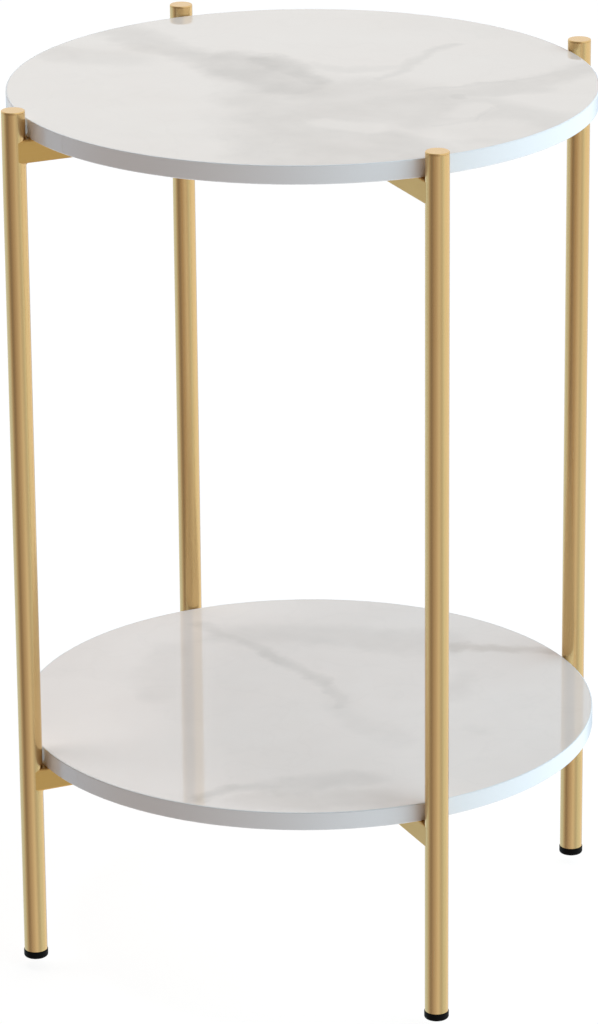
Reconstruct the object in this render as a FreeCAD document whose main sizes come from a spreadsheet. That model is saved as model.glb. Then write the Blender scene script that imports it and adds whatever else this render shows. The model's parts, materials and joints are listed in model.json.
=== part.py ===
"""Two-tier round side table: marble-faced boards held inside four legs by crossed rails.

Millimetres, +Z up, origin on the floor on the table's axis. The rails run along X and Y,
so the legs stand at -Y (front), +X (right), +Y (back) and -X (left).
Each pair of opposite legs is one welded ladder frame, and the two frames half-lap at the middle.
"""
import FreeCAD, Part
import Sketcher
import math
import os

# Driving dimensions in millimetres, each written once.
SIZES = {
    # Stance: floor to cap tops, cap tops above the top board's face, floor to the shelf's face
    "table_height": 610.0,
    "leg_proud": 6.5,
    "shelf_height": 155.0,
    # Boards: core, a decor or backing sheet on each face, a band round the edge
    "board_diameter": 400.0,
    "core_thickness": 12.0,
    "sheet_thickness": 0.4,
    "band_thickness": 1.0,
    "band_round": 0.6,
    # Legs: round tubes just outside the boards, closed by caps with a spigot
    "edge_gap": 1.2,
    "leg_diameter": 16.0,
    "leg_wall": 1.0,
    "cap_head": 1.2,
    "cap_edge": 0.4,
    "cap_spigot": 6.0,
    "press_gap": 0.05,
    # Rails: square tubes, saddle-cut at the legs and half-lapped at the middle
    "rail_size": 16.0,
    "rail_wall": 1.0,
    "rail_corner": 1.5,
    "rail_bore_corner": 0.5,
    "saddle_gap": 0.1,
    "lap_gap": 0.2,
    # Screws: one per rail arm, driven through an access hole in the rail's lower wall,
    # with some of the board left over their tips
    "screw_circle": 260.0,
    "screw_diameter": 4.0,
    "screw_point": 3.0,
    "screw_cover": 1.8,
    "screw_gap": 0.5,
    "screw_head_diameter": 8.0,
    "screw_head_height": 2.5,
    "screw_head_crown": 4.0,
    "screw_head_rim": 1.25,
    "access_gap": 2.0,
    # Crossing bolt, stopping short of the end of its insert nut, and the board left over the nut
    "bolt_diameter": 6.0,
    "bolt_gap": 0.6,
    "bolt_short": 1.0,
    "bolt_head_diameter": 10.5,
    "bolt_head_height": 3.3,
    "bolt_head_crown": 6.0,
    "bolt_head_rim": 1.1,
    "key_width": 4.0,
    "key_depth": 2.0,
    "nut_diameter": 10.0,
    "nut_cover": 2.8,
    "thread_gap": 0.05,
    # Levelling feet: moulded base, stud, ribbed insert in the leg
    "foot_height": 5.4,
    "foot_diameter": 16.8,
    "foot_round": 1.4,
    "stud_diameter": 6.0,
    "stud_length": 20.0,
    "stud_seat": 3.0,
    "stud_point": 0.8,
    "insert_length": 16.0,
    "rib_height": 0.6,
    "rib_width": 1.6,
    "rib_margin": 1.5,
    "rib_count": 4,
}

# Places worked out from the driving dimensions, as expressions.
BOARD_THICKNESS = "(sizes.core_thickness + 2 * sizes.sheet_thickness)"
TOP_UNDERSIDE = f"(sizes.table_height - sizes.leg_proud - {BOARD_THICKNESS})"
SHELF_UNDERSIDE = f"(sizes.shelf_height - {BOARD_THICKNESS})"
BOARD_RADIUS = "(sizes.board_diameter / 2)"
CORE_RADIUS = f"({BOARD_RADIUS} - sizes.band_thickness)"
LEG_RADIUS = "(sizes.leg_diameter / 2)"
LEG_BORE = f"({LEG_RADIUS} - sizes.leg_wall)"
LEG_RING = f"({BOARD_RADIUS} + sizes.edge_gap + {LEG_RADIUS})"
LEG_TOP = "(sizes.table_height - sizes.cap_head)"
SCREW_RING = "(sizes.screw_circle / 2)"
SCREW_BITE = f"({BOARD_THICKNESS} - sizes.screw_cover)"
NUT_LENGTH = f"({BOARD_THICKNESS} - sizes.nut_cover)"
BOLT_REACH = f"({NUT_LENGTH} - sizes.bolt_short)"

# Which way each leg stands from the table's axis.
LEG_SIDES = {"front": (0, -1), "right": (1, 0), "back": (0, 1), "left": (-1, 0)}

# A rounding takes at most this share of the wall that it is cut in.
ROUND_SHARE = 0.9

QUARTERS = 4
HEX_SIDES = 6

# How sketches number the points on a line or circle, and their own axes; the origin starts the H axis.
START, END, CENTRE = range(1, 4)
H_AXIS, V_AXIS = range(-1, -3, -1)
ORIGIN = H_AXIS

doc = FreeCAD.newDocument("side_table")
sheet = doc.addObject("Spreadsheet::Sheet", "sizes")
for row, (alias, size) in enumerate(SIZES.items(), start=1):
    sheet.set(f"A{row}", str(size))
    sheet.setAlias(f"A{row}", alias)
doc.recompute()

# Each piece and how many solids it holds.
pieces = {}


def value(expression):
    """The number that an expression on the sheet stands for."""
    return float(sheet.evalExpression(expression))


def new_body(label, height="0", ring="0", side=(0, 0), turn=0):
    """A body for one piece, raised to a height and moved out along a side or turned about Z."""
    body = doc.addObject("PartDesign::Body", label)
    body.Label = label
    body.Placement = FreeCAD.Placement(FreeCAD.Vector(), FreeCAD.Rotation(FreeCAD.Vector(0, 0, 1), turn))
    body.setExpression("Placement.Base.x", f"{side[0]} * {ring}")
    body.setExpression("Placement.Base.y", f"{side[1]} * {ring}")
    body.setExpression("Placement.Base.z", height)
    pieces[label] = 1
    return body


def origin_feature(body, role):
    """One of the body's own origin planes or axes."""
    return next(f for f in body.Origin.OriginFeatures if f.Role == role)


def new_sketch(body, name, plane="XY_Plane", lift=None):
    """A sketch on one of the body's origin planes, lifted along its normal if asked."""
    sketch = body.newObject("Sketcher::SketchObject", name)
    sketch.AttachmentSupport = [(origin_feature(body, plane), "")]
    sketch.MapMode = "FlatFace"
    if lift:
        sketch.setExpression("AttachmentOffset.Base.z", lift)
    return sketch


def bind(sketch, constraint, expression):
    """Adds a dimension and ties it to the sheet."""
    index = sketch.addConstraint(constraint)
    sketch.setExpression(f"Constraints[{index}]", expression)


def pin(sketch, geometry, point, x, y):
    """Fixes a point at the place that two expressions give, on an axis where one is 0."""
    if x == "0" and y == "0":
        sketch.addConstraint(Sketcher.Constraint("Coincident", geometry, point, ORIGIN, START))
        return
    if x == "0":
        sketch.addConstraint(Sketcher.Constraint("PointOnObject", geometry, point, V_AXIS))
    else:
        bind(sketch, Sketcher.Constraint("DistanceX", ORIGIN, START, geometry, point, value(x)), x)
    if y == "0":
        sketch.addConstraint(Sketcher.Constraint("PointOnObject", geometry, point, H_AXIS))
    else:
        bind(sketch, Sketcher.Constraint("DistanceY", ORIGIN, START, geometry, point, value(y)), y)


def add_circle(sketch, radius, x="0", y="0"):
    """A circle with its centre and radius tied to the sheet."""
    centre = FreeCAD.Vector(value(x), value(y), 0)
    circle = sketch.addGeometry(Part.Circle(centre, FreeCAD.Vector(0, 0, 1), value(radius)))
    pin(sketch, circle, CENTRE, x, y)
    bind(sketch, Sketcher.Constraint("Radius", circle, value(radius)), radius)


def add_outline(sketch, corners):
    """A closed outline of straight lines through corners given as pairs of expressions."""
    points = [FreeCAD.Vector(value(x), value(y), 0) for x, y in corners]
    lines = [
        sketch.addGeometry(Part.LineSegment(point, points[(i + 1) % len(points)]))
        for i, point in enumerate(points)
    ]
    for i, line in enumerate(lines):
        following = lines[(i + 1) % len(lines)]
        sketch.addConstraint(Sketcher.Constraint("Coincident", line, END, following, START))
    for line, (x, y) in zip(lines, corners):
        pin(sketch, line, START, x, y)


def add_axis(sketch, x, top):
    """An upright construction line to revolve about, from the sketch's X axis to a height."""
    low = FreeCAD.Vector(value(x), 0, 0)
    high = FreeCAD.Vector(value(x), value(top), 0)
    line = sketch.addGeometry(Part.LineSegment(low, high), True)
    pin(sketch, line, START, x, "0")
    pin(sketch, line, END, x, top)


def add_pad(body, name, sketch, length, side_type="One side"):
    """Pads a sketch along its normal."""
    pad = body.newObject("PartDesign::Pad", name)
    pad.Profile = sketch
    pad.SideType = side_type
    pad.setExpression("Length", length)
    doc.recompute()
    return pad


def add_pocket(body, name, sketch, length=None, side_type="One side", upward=False):
    """Cuts a sketch out of the body, through everything unless a length is given."""
    before = body.Shape.Volume
    pocket = body.newObject("PartDesign::Pocket", name)
    pocket.Profile = sketch
    pocket.SideType = side_type
    pocket.Reversed = upward
    if length:
        pocket.setExpression("Length", length)
    else:
        pocket.Type = "ThroughAll"
    doc.recompute()
    if body.Shape.Volume >= before:
        raise RuntimeError(f"{body.Label}: {name} cuts nothing")
    return pocket


def add_revolve(body, name, corners, about=None, top=None):
    """Revolves an outline in the XZ plane about Z, or about an upright line at another X."""
    sketch = new_sketch(body, f"{name}_profile", "XZ_Plane")
    add_outline(sketch, corners)
    if about:
        add_axis(sketch, about, top)
    revolve = body.newObject("PartDesign::Revolution", name)
    revolve.Profile = sketch
    revolve.ReferenceAxis = (sketch, ["Axis0" if about else "V_Axis"])
    revolve.Angle = 360
    doc.recompute()
    return revolve


def add_quarters(body, name, feature):
    """Repeats a feature at every quarter turn about Z."""
    pattern = body.newObject("PartDesign::PolarPattern", name)
    pattern.Originals = [feature]
    pattern.Axis = (origin_feature(body, "Z_Axis"), [""])
    pattern.Angle = 360
    pattern.Occurrences = QUARTERS
    body.Tip = pattern
    doc.recompute()


def add_fillet(body, name, base, chosen, radius):
    """Rounds the edges of a feature that a test on an edge chooses."""
    edges = [f"Edge{i}" for i, edge in enumerate(base.Shape.Edges, start=1) if chosen(edge)]
    fillet = body.newObject("PartDesign::Fillet", name)
    fillet.Base = (base, edges)
    fillet.setExpression("Radius", radius)
    doc.recompute()
    return fillet


def make_board(name, underside):
    """One board: core, decor face, backing sheet and edge band, stacked up from its underside."""
    core = new_body(f"{name}_core", underside)
    core_outline = new_sketch(core, f"{name}_core_outline", lift="sizes.sheet_thickness")
    add_circle(core_outline, CORE_RADIUS)
    add_pad(core, f"{name}_core_slab", core_outline, "sizes.core_thickness")
    nut_hole = new_sketch(core, f"{name}_nut_hole")
    add_circle(nut_hole, "sizes.nut_diameter / 2")
    add_pocket(core, f"{name}_nut_bore", nut_hole, NUT_LENGTH, upward=True)
    pilot = new_sketch(core, f"{name}_pilot_hole")
    add_circle(pilot, "sizes.screw_diameter / 2", x=SCREW_RING)
    pilot_bore = add_pocket(core, f"{name}_pilot_bore", pilot, SCREW_BITE, upward=True)
    add_quarters(core, f"{name}_pilot_bores", pilot_bore)

    face = new_body(f"{name}_marble_face", f"{underside} + sizes.sheet_thickness + sizes.core_thickness")
    face_outline = new_sketch(face, f"{name}_face_outline")
    add_circle(face_outline, CORE_RADIUS)
    add_pad(face, f"{name}_face_sheet", face_outline, "sizes.sheet_thickness")

    backing = new_body(f"{name}_backing", underside)
    backing_outline = new_sketch(backing, f"{name}_backing_outline")
    add_circle(backing_outline, CORE_RADIUS)
    add_circle(backing_outline, "sizes.nut_diameter / 2")
    add_pad(backing, f"{name}_backing_sheet", backing_outline, "sizes.sheet_thickness")
    screw_hole = new_sketch(backing, f"{name}_backing_hole")
    add_circle(screw_hole, "sizes.screw_diameter / 2", x=SCREW_RING)
    screw_cut = add_pocket(backing, f"{name}_backing_cut", screw_hole, "sizes.sheet_thickness", upward=True)
    add_quarters(backing, f"{name}_backing_cuts", screw_cut)

    band = new_body(f"{name}_edge_band", underside)
    band_outline = new_sketch(band, f"{name}_band_outline")
    add_circle(band_outline, BOARD_RADIUS)
    add_circle(band_outline, CORE_RADIUS)
    strip = add_pad(band, f"{name}_band_strip", band_outline, BOARD_THICKNESS)
    rim = value(BOARD_RADIUS)
    add_fillet(
        band,
        f"{name}_band_rounding",
        strip,
        lambda edge: isinstance(edge.Curve, Part.Circle) and math.isclose(edge.Curve.Radius, rim),
        f"min(sizes.band_round; {ROUND_SHARE} * sizes.band_thickness)",
    )


def make_rail(label, underside, turn, lap_from_above):
    """One rail below a board, along its own X, with the half of its height that the lap removes."""
    body = new_body(label, underside, turn=turn)
    half = "sizes.rail_size / 2"
    bore_half = f"({half} - sizes.rail_wall)"
    bore_low = "(sizes.rail_wall - sizes.rail_size)"
    section = new_sketch(body, f"{label}_section", "YZ_Plane")
    low = "-sizes.rail_size"
    add_outline(section, [(f"-{half}", low), (half, low), (half, "0"), (f"-{half}", "0")])
    roof = "-sizes.rail_wall"
    add_outline(
        section,
        [(f"-{bore_half}", bore_low), (bore_half, bore_low), (bore_half, roof), (f"-{bore_half}", roof)],
    )
    tube = add_pad(body, f"{label}_tube", section, f"2 * {LEG_RING}", "Symmetric")
    rail_half, bore_width = value(half), value(bore_half)

    def runs_along(edge, side):
        """Whether an edge is one of the tube's long corners at this distance from its middle."""
        along = math.isclose(edge.BoundBox.YLength + edge.BoundBox.ZLength, 0, abs_tol=1e-6)
        return along and math.isclose(abs(edge.Vertexes[0].Y), side, abs_tol=1e-6)

    outside = add_fillet(
        body, f"{label}_corners", tube, lambda edge: runs_along(edge, rail_half), "sizes.rail_corner"
    )
    add_fillet(
        body,
        f"{label}_bore_corners",
        outside,
        lambda edge: runs_along(edge, bore_width),
        "sizes.rail_bore_corner",
    )

    saddles = new_sketch(body, f"{label}_saddles")
    for side in ("", "-"):
        add_circle(saddles, f"{LEG_RADIUS} + sizes.saddle_gap", x=f"{side}{LEG_RING}")
    add_pocket(body, f"{label}_saddle_cuts", saddles)

    lap = new_sketch(body, f"{label}_lap", "XZ_Plane")
    reach = f"({half} + sizes.lap_gap)"
    upper, lower = ("0", f"-({half} + sizes.lap_gap / 2)")
    if not lap_from_above:
        upper, lower = (f"-({half} - sizes.lap_gap / 2)", "-sizes.rail_size")
    add_outline(lap, [(f"-{reach}", lower), (reach, lower), (reach, upper), (f"-{reach}", upper)])
    add_pocket(body, f"{label}_lap_cut", lap, side_type="Symmetric")

    bolt_hole = new_sketch(body, f"{label}_bolt_hole")
    add_circle(bolt_hole, "(sizes.bolt_diameter + sizes.bolt_gap) / 2")
    add_pocket(body, f"{label}_bolt_cut", bolt_hole)

    screw_holes = new_sketch(body, f"{label}_screw_holes")
    access_holes = new_sketch(body, f"{label}_access_holes", lift=bore_low)
    for side in ("", "-"):
        place = f"{side}{SCREW_RING}"
        add_circle(screw_holes, "(sizes.screw_diameter + sizes.screw_gap) / 2", x=place)
        add_circle(access_holes, "(sizes.screw_head_diameter + sizes.access_gap) / 2", x=place)
    add_pocket(body, f"{label}_screw_cuts", screw_holes, "sizes.rail_wall")
    add_pocket(body, f"{label}_access_cuts", access_holes)


def make_screws(label, underside):
    """Four pan-head screws from inside the rails up into a board."""
    body = new_body(label, underside)
    body.AllowCompound = True
    seat = "-sizes.rail_wall"
    head_low = "(-sizes.rail_wall - sizes.screw_head_height)"
    head = f"({SCREW_RING} + sizes.screw_head_diameter / 2)"
    crown = f"({SCREW_RING} + sizes.screw_head_crown / 2)"
    shank = f"({SCREW_RING} + sizes.screw_diameter / 2)"
    screw = add_revolve(
        body,
        f"{label}_screw",
        [
            (SCREW_RING, head_low),
            (crown, head_low),
            (head, f"({seat} - sizes.screw_head_rim)"),
            (head, seat),
            (shank, seat),
            (shank, f"({SCREW_BITE} - sizes.screw_point)"),
            (SCREW_RING, SCREW_BITE),
        ],
        about=SCREW_RING,
        top=SCREW_BITE,
    )
    add_quarters(body, f"{label}_ring", screw)
    pieces[label] = QUARTERS


def make_cross_bolt(tier, underside):
    """The button-head bolt up through a crossing, and the insert nut that it holds in the board."""
    bolt = new_body(f"{tier}_cross_bolt", underside)
    head_top = "-sizes.rail_size"
    head_low = "(-sizes.rail_size - sizes.bolt_head_height)"
    head = "sizes.bolt_head_diameter / 2"
    shank = "(sizes.bolt_diameter / 2 - sizes.thread_gap)"
    add_revolve(
        bolt,
        f"{tier}_bolt",
        [
            ("0", head_low),
            ("sizes.bolt_head_crown / 2", head_low),
            (head, f"({head_top} - sizes.bolt_head_rim)"),
            (head, head_top),
            (shank, head_top),
            (shank, BOLT_REACH),
            ("0", BOLT_REACH),
        ],
    )
    key = new_sketch(bolt, f"{tier}_key", lift=head_low)
    corner = "sizes.key_width / sqrt(3)"
    # A quarter of a side's turn keeps the hexagon's corners off the sketch's axes.
    turns = [f"{360 / HEX_SIDES * (i + 0.25)} deg" for i in range(HEX_SIDES)]
    add_outline(key, [(f"{corner} * cos({turn})", f"{corner} * sin({turn})") for turn in turns])
    add_pocket(bolt, f"{tier}_key_socket", key, "sizes.key_depth", upward=True)

    nut = new_body(f"{tier}_insert_nut", underside)
    ring = new_sketch(nut, f"{tier}_nut_ring")
    add_circle(ring, "sizes.nut_diameter / 2")
    add_circle(ring, "sizes.bolt_diameter / 2")
    add_pad(nut, f"{tier}_nut_body", ring, NUT_LENGTH)


def make_leg(name, side):
    """One leg: tube, cap on its top end, levelling foot and insert at its lower end."""
    leg = new_body(f"leg_{name}", "sizes.foot_height", LEG_RING, side)
    section = new_sketch(leg, f"leg_{name}_section")
    add_circle(section, LEG_RADIUS)
    add_circle(section, LEG_BORE)
    add_pad(leg, f"leg_{name}_tube", section, f"{LEG_TOP} - sizes.foot_height")

    cap = new_body(f"leg_cap_{name}", LEG_TOP, LEG_RING, side)
    spigot = f"({LEG_BORE} - sizes.press_gap)"
    add_revolve(
        cap,
        f"leg_cap_{name}_turned",
        [
            ("0", "-sizes.cap_spigot"),
            (spigot, "-sizes.cap_spigot"),
            (spigot, "0"),
            (LEG_RADIUS, "0"),
            (LEG_RADIUS, "(sizes.cap_head - sizes.cap_edge)"),
            (f"({LEG_RADIUS} - sizes.cap_edge)", "sizes.cap_head"),
            ("0", "sizes.cap_head"),
        ],
    )

    insert = new_body(f"foot_insert_{name}", "sizes.foot_height", LEG_RING, side)
    thread = "sizes.stud_diameter / 2"
    sleeve = f"({LEG_BORE} - sizes.rib_height)"
    length = "sizes.insert_length"
    add_revolve(
        insert,
        f"foot_insert_{name}_sleeve",
        [(thread, "0"), (sleeve, "0"), (sleeve, length), (thread, length)],
    )
    root = f"({sleeve} - sizes.rib_height)"
    rib_low = "sizes.rib_margin"
    rib_top = "(sizes.rib_margin + sizes.rib_width)"
    rib = add_revolve(
        insert,
        f"foot_insert_{name}_rib",
        [(root, rib_low), (LEG_BORE, rib_low), (sleeve, rib_top), (root, rib_top)],
    )
    ribs = insert.newObject("PartDesign::LinearPattern", f"foot_insert_{name}_ribs")
    ribs.Originals = [rib]
    ribs.Direction = (origin_feature(insert, "Z_Axis"), [""])
    ribs.setExpression("Length", f"{length} - 2 * sizes.rib_margin - sizes.rib_width")
    ribs.setExpression("Occurrences", "sizes.rib_count")
    insert.Tip = ribs

    foot = new_body(f"foot_{name}", "0", LEG_RING, side)
    foot_radius = "sizes.foot_diameter / 2"
    seat = "(sizes.foot_height - sizes.stud_seat)"
    base = add_revolve(
        foot,
        f"foot_{name}_base",
        [
            ("0", "0"),
            (foot_radius, "0"),
            (foot_radius, "sizes.foot_height"),
            (thread, "sizes.foot_height"),
            (thread, seat),
            ("0", seat),
        ],
    )
    outer = value(foot_radius)
    add_fillet(
        foot,
        f"foot_{name}_rounding",
        base,
        lambda edge: isinstance(edge.Curve, Part.Circle)
        and math.isclose(edge.Curve.Radius, outer)
        and math.isclose(edge.BoundBox.ZMax, 0, abs_tol=1e-6),
        "sizes.foot_round",
    )

    stud = new_body(f"leveller_stud_{name}", seat, LEG_RING, side)
    shank = f"({thread} - sizes.thread_gap)"
    tip = "(sizes.stud_seat + sizes.stud_length)"
    add_revolve(
        stud,
        f"leveller_stud_{name}_shank",
        [
            ("0", "0"),
            (shank, "0"),
            (shank, f"({tip} - sizes.stud_point)"),
            (f"({shank} - sizes.stud_point)", tip),
            ("0", tip),
        ],
    )


make_board("top", TOP_UNDERSIDE)
make_board("shelf", SHELF_UNDERSIDE)
for tier, board, underside in (("upper", "top", TOP_UNDERSIDE), ("lower", "shelf", SHELF_UNDERSIDE)):
    make_rail(f"{tier}_rail_x", underside, turn=0, lap_from_above=True)
    make_rail(f"{tier}_rail_y", underside, turn=90, lap_from_above=False)
    make_screws(f"{board}_board_screws", underside)
    make_cross_bolt(tier, underside)
for name, side in LEG_SIDES.items():
    make_leg(name, side)
doc.recompute()

for item in doc.Objects:
    if "Invalid" in item.State or "Error" in item.State:
        raise RuntimeError(f"{item.Label} failed: {item.State}")
bodies = {item.Label: item for item in doc.Objects if item.TypeId == "PartDesign::Body"}
for label, count in pieces.items():
    shape = bodies[label].Shape
    if shape.isNull() or not shape.isValid() or len(shape.Solids) != count:
        raise RuntimeError(f"{label} is not {count} valid solid(s)")

os.makedirs("parts", exist_ok=True)
for label in pieces:
    bodies[label].Shape.exportStep(f"parts/{label}.step")
print(f"{len(pieces)} pieces written")
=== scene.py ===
"""Finishes a two-tier round side table: marble-look boards, gold tube frame, levelling feet and studio."""

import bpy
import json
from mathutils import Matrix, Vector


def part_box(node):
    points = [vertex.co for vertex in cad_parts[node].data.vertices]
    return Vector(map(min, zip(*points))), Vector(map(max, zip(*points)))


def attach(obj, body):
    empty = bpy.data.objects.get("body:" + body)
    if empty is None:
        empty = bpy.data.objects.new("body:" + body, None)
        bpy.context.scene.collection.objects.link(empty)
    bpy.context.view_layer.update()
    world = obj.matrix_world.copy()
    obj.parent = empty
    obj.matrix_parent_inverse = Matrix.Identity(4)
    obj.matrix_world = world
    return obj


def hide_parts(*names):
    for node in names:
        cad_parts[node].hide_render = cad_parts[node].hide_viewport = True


bl_info = {
    "name": "Two-Tier Side Table",
    "version": (1, 0, 0),
    "blender": (4, 5, 0),
    "location": "View3D > Sidebar > Side Table",
    "description": "Models and finishes the visible pieces of a two-tier round side table",
    "category": "Object",
}

import json
import math
from collections import namedtuple
from contextlib import contextmanager

import bmesh
import bpy
from bpy.props import FloatProperty, FloatVectorProperty, IntProperty, PointerProperty
from mathutils import Matrix, Vector

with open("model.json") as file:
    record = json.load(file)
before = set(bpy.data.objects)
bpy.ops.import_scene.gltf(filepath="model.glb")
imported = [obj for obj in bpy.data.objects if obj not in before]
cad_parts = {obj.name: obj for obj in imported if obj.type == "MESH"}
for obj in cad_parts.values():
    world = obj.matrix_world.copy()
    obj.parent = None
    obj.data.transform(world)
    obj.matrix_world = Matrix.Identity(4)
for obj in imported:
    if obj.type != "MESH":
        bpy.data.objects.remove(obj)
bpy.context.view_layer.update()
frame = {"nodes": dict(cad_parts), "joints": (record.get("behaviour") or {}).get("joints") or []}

MM = 0.001
# In metres: how near two places count as the same, and how near two points are merged into one
TINY = 0.00002
MERGE = TINY / 10
SMOOTH_ANGLE = math.radians(35)
QUARTER_TURN = math.pi / 2
HEXAGON = 6
# Flats across a plain chamfer, and across a groove whose middle edge is sunk
CHAMFER = 1
GROOVE = 2
SIDES = ("front", "right", "back", "left")
BOARDS = ("top", "shelf")
LEVELS = ("upper", "lower")
FOOT_TRAVEL = max(max(joint["range_m"]) for joint in frame["joints"])


def linear(hex_colour):
    """Linear red, green and blue of an sRGB colour such as E8C48A."""
    shares = (int(hex_colour[place:place + 2], 16) / 255 for place in (0, 2, 4))
    return tuple(s / 12.92 if s <= 0.04045 else ((s + 0.055) / 1.055) ** 2.4 for s in shares)


# Settings that a user can change

def length(name, description, millimetres):
    """A size, in metres inside Blender."""
    return FloatProperty(
        name=name, description=description, default=millimetres * MM, unit="LENGTH", precision=5)


def angle(name, description, degrees):
    """An angle, in radians inside Blender."""
    return FloatProperty(name=name, description=description, default=math.radians(degrees), subtype="ANGLE")


def amount(name, description, default, unit="NONE"):
    """A strength, or a value in a unit of its own."""
    return FloatProperty(name=name, description=description, default=default, unit=unit)


def fraction(name, description, default):
    """A part of a whole."""
    return FloatProperty(
        name=name, description=description, default=default, subtype="FACTOR", min=0, max=1)


def count(name, description, default, least=1):
    """A number of flats."""
    return IntProperty(name=name, description=description, default=default, min=least)


def colour(name, description, hex_colour):
    """A colour, held as linear light."""
    return FloatVectorProperty(
        name=name, description=description, default=linear(hex_colour), subtype="COLOR", min=0, max=1)


class SideTableShape(bpy.types.PropertyGroup):
    """Small forms that the finished pieces add to the frame's own sizes."""

    board_steps: count("Board Steps", "Flats round each board", 256, 64)
    tube_steps: count("Tube Steps", "Flats round each tube", 72, 24)
    edge_steps: count("Edge Steps", "Flats across a rounded edge", 5)
    arris_steps: count("Arris Steps", "Flats across a broken edge", 2)
    lip_steps: count("Lip Steps", "Flats across the rounding of a foot's upper edge", 3)
    dome_steps: count("Dome Steps", "Flats across the dome of a cross bolt", 7)
    weld_steps: count("Weld Steps", "Flats along a weld fillet", 24)
    thread_steps: count("Thread Steps", "Flats round one turn of a thread", 32, 12)
    sheet_arris: length("Sheet Arris", "Broken edge of a marble sheet, for a fine joint line", 0.15)
    strip_round: length("Strip Round", "Rounding of the edge strip's two arrises", 0.8)
    strip_joint: length("Strip Joint", "Half width of the joint where the ends of the strip meet", 0.12)
    strip_place: fraction("Strip Place", "Turn from the back to where a strip's ends meet", 0.29)
    tube_wall: length("Tube Wall", "Wall of the leg and rail tubes", 1.0)
    tube_arris: length("Tube Arris", "Broken edge at the ends of a tube", 0.2)
    cap_head: length("Cap Head", "Height of a leg cap above its tube", 1.2)
    cap_round: length("Cap Round", "Rounding round the top of a leg cap", 0.7)
    cap_seam: length("Cap Seam", "Broken edge under a cap's head, which leaves a fine seam", 0.15)
    rail_corner: length("Rail Corner", "Rounding of the square tube's long corners", 1.5)
    lap_gap: length("Lap Gap", "Clearance in the half-lapped crossing", 0.2)
    screw_head: length("Screw Head", "Diameter of a board screw's head", 8.0)
    screw_clearance: length("Screw Clearance", "Diameter of the hole for a board screw's shank", 4.5)
    driver_hole: length("Driver Hole", "Diameter of the hole that takes a board screw's head", 10.0)
    bolt_hole: length("Bolt Hole", "Diameter of the hole for the cross bolt", 6.6)
    bolt_shank: length("Bolt Shank", "Diameter of the cross bolt's shank", 5.9)
    bolt_dome: length("Bolt Dome", "Rounding of the cross bolt's button head", 2.2)
    key_width: length("Key Width", "Size of the cross bolt's hexagon socket, across its flats", 4.0)
    key_depth: length("Key Depth", "Depth of the cross bolt's hexagon socket", 2.0)
    weld_leg: length("Weld Leg", "Reach of the weld fillet under each rail's end", 2.0)
    weld_bury: length("Weld Bury", "How deep the weld fillet runs into the two tubes", 0.3)
    weld_hollow: fraction("Weld Hollow", "Share of its reach that a weld keeps in its hollow", 0.36)
    weld_tip: fraction("Weld Tip", "Share of its section that a weld keeps at its two ends", 0.3)
    foot_round: length("Foot Round", "Rounding of the foot's lower edge", 1.5)
    foot_arris: length("Foot Arris", "Rounding of the foot's upper edge", 0.4)
    thread_pitch: length("Thread Pitch", "Pitch of the levelling stud's thread", 1.0)
    thread_depth: length("Thread Depth", "Depth of the levelling stud's thread", 0.6)


class SideTableColours(bpy.types.PropertyGroup):
    """Colours of the finishes, each the surface's own colour under white light."""

    top_ground: colour("Top Ground", "Ground of the top's marble print", "F5E9E0")
    top_drift: colour("Top Drift", "Slow warm drift in the top's ground", "F2E3D9")
    # The shelf's ground and drift are painted lighter than the top's: painted light against the shade that
    # the top board casts on the shelf
    shelf_ground: colour("Shelf Ground", "Ground of the shelf's marble print", "FCF1EB")
    shelf_drift: colour("Shelf Drift", "Slow warm drift in the shelf's ground", "F9EBE4")
    vein: colour("Vein", "Grey veins of the marble print", "A99F97")
    vein_brown: colour("Brown Vein", "Rusty veins of the marble print", "8A6F52")
    strip: colour("Edge Strip", "White of the edge strip", "EBEAEB")
    gold: colour("Gold", "Gold plating on the tubes", "E4C692")
    # The deeper gold is also painted shade on the square rails
    gold_deep_and_rail_shade: colour("Deep Gold", "Deeper gold in the plating", "C99F5C")
    nylon: colour("Nylon", "Black of the feet", "030303")
    nylon_worn: colour("Worn Nylon", "Scuffed black of the feet", "0C0C0D")
    zinc: colour("Zinc", "Zinc plating on screws and studs", "C3C7CC")
    zinc_warm: colour("Warm Zinc", "Yellowish bloom in the zinc plating", "CFC6AE")
    backing: colour("Backing", "Balancing sheet under the boards", "E6E4E0")
    backing_fibre: colour("Backing Fibre", "Paper fibres in the balancing sheet", "CFCAC0")
    fibreboard: colour("Fibreboard", "Board under the sheets", "B08E62")
    fibreboard_fleck: colour("Fibreboard Fleck", "Coarse fibres in the board", "84653F")


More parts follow.
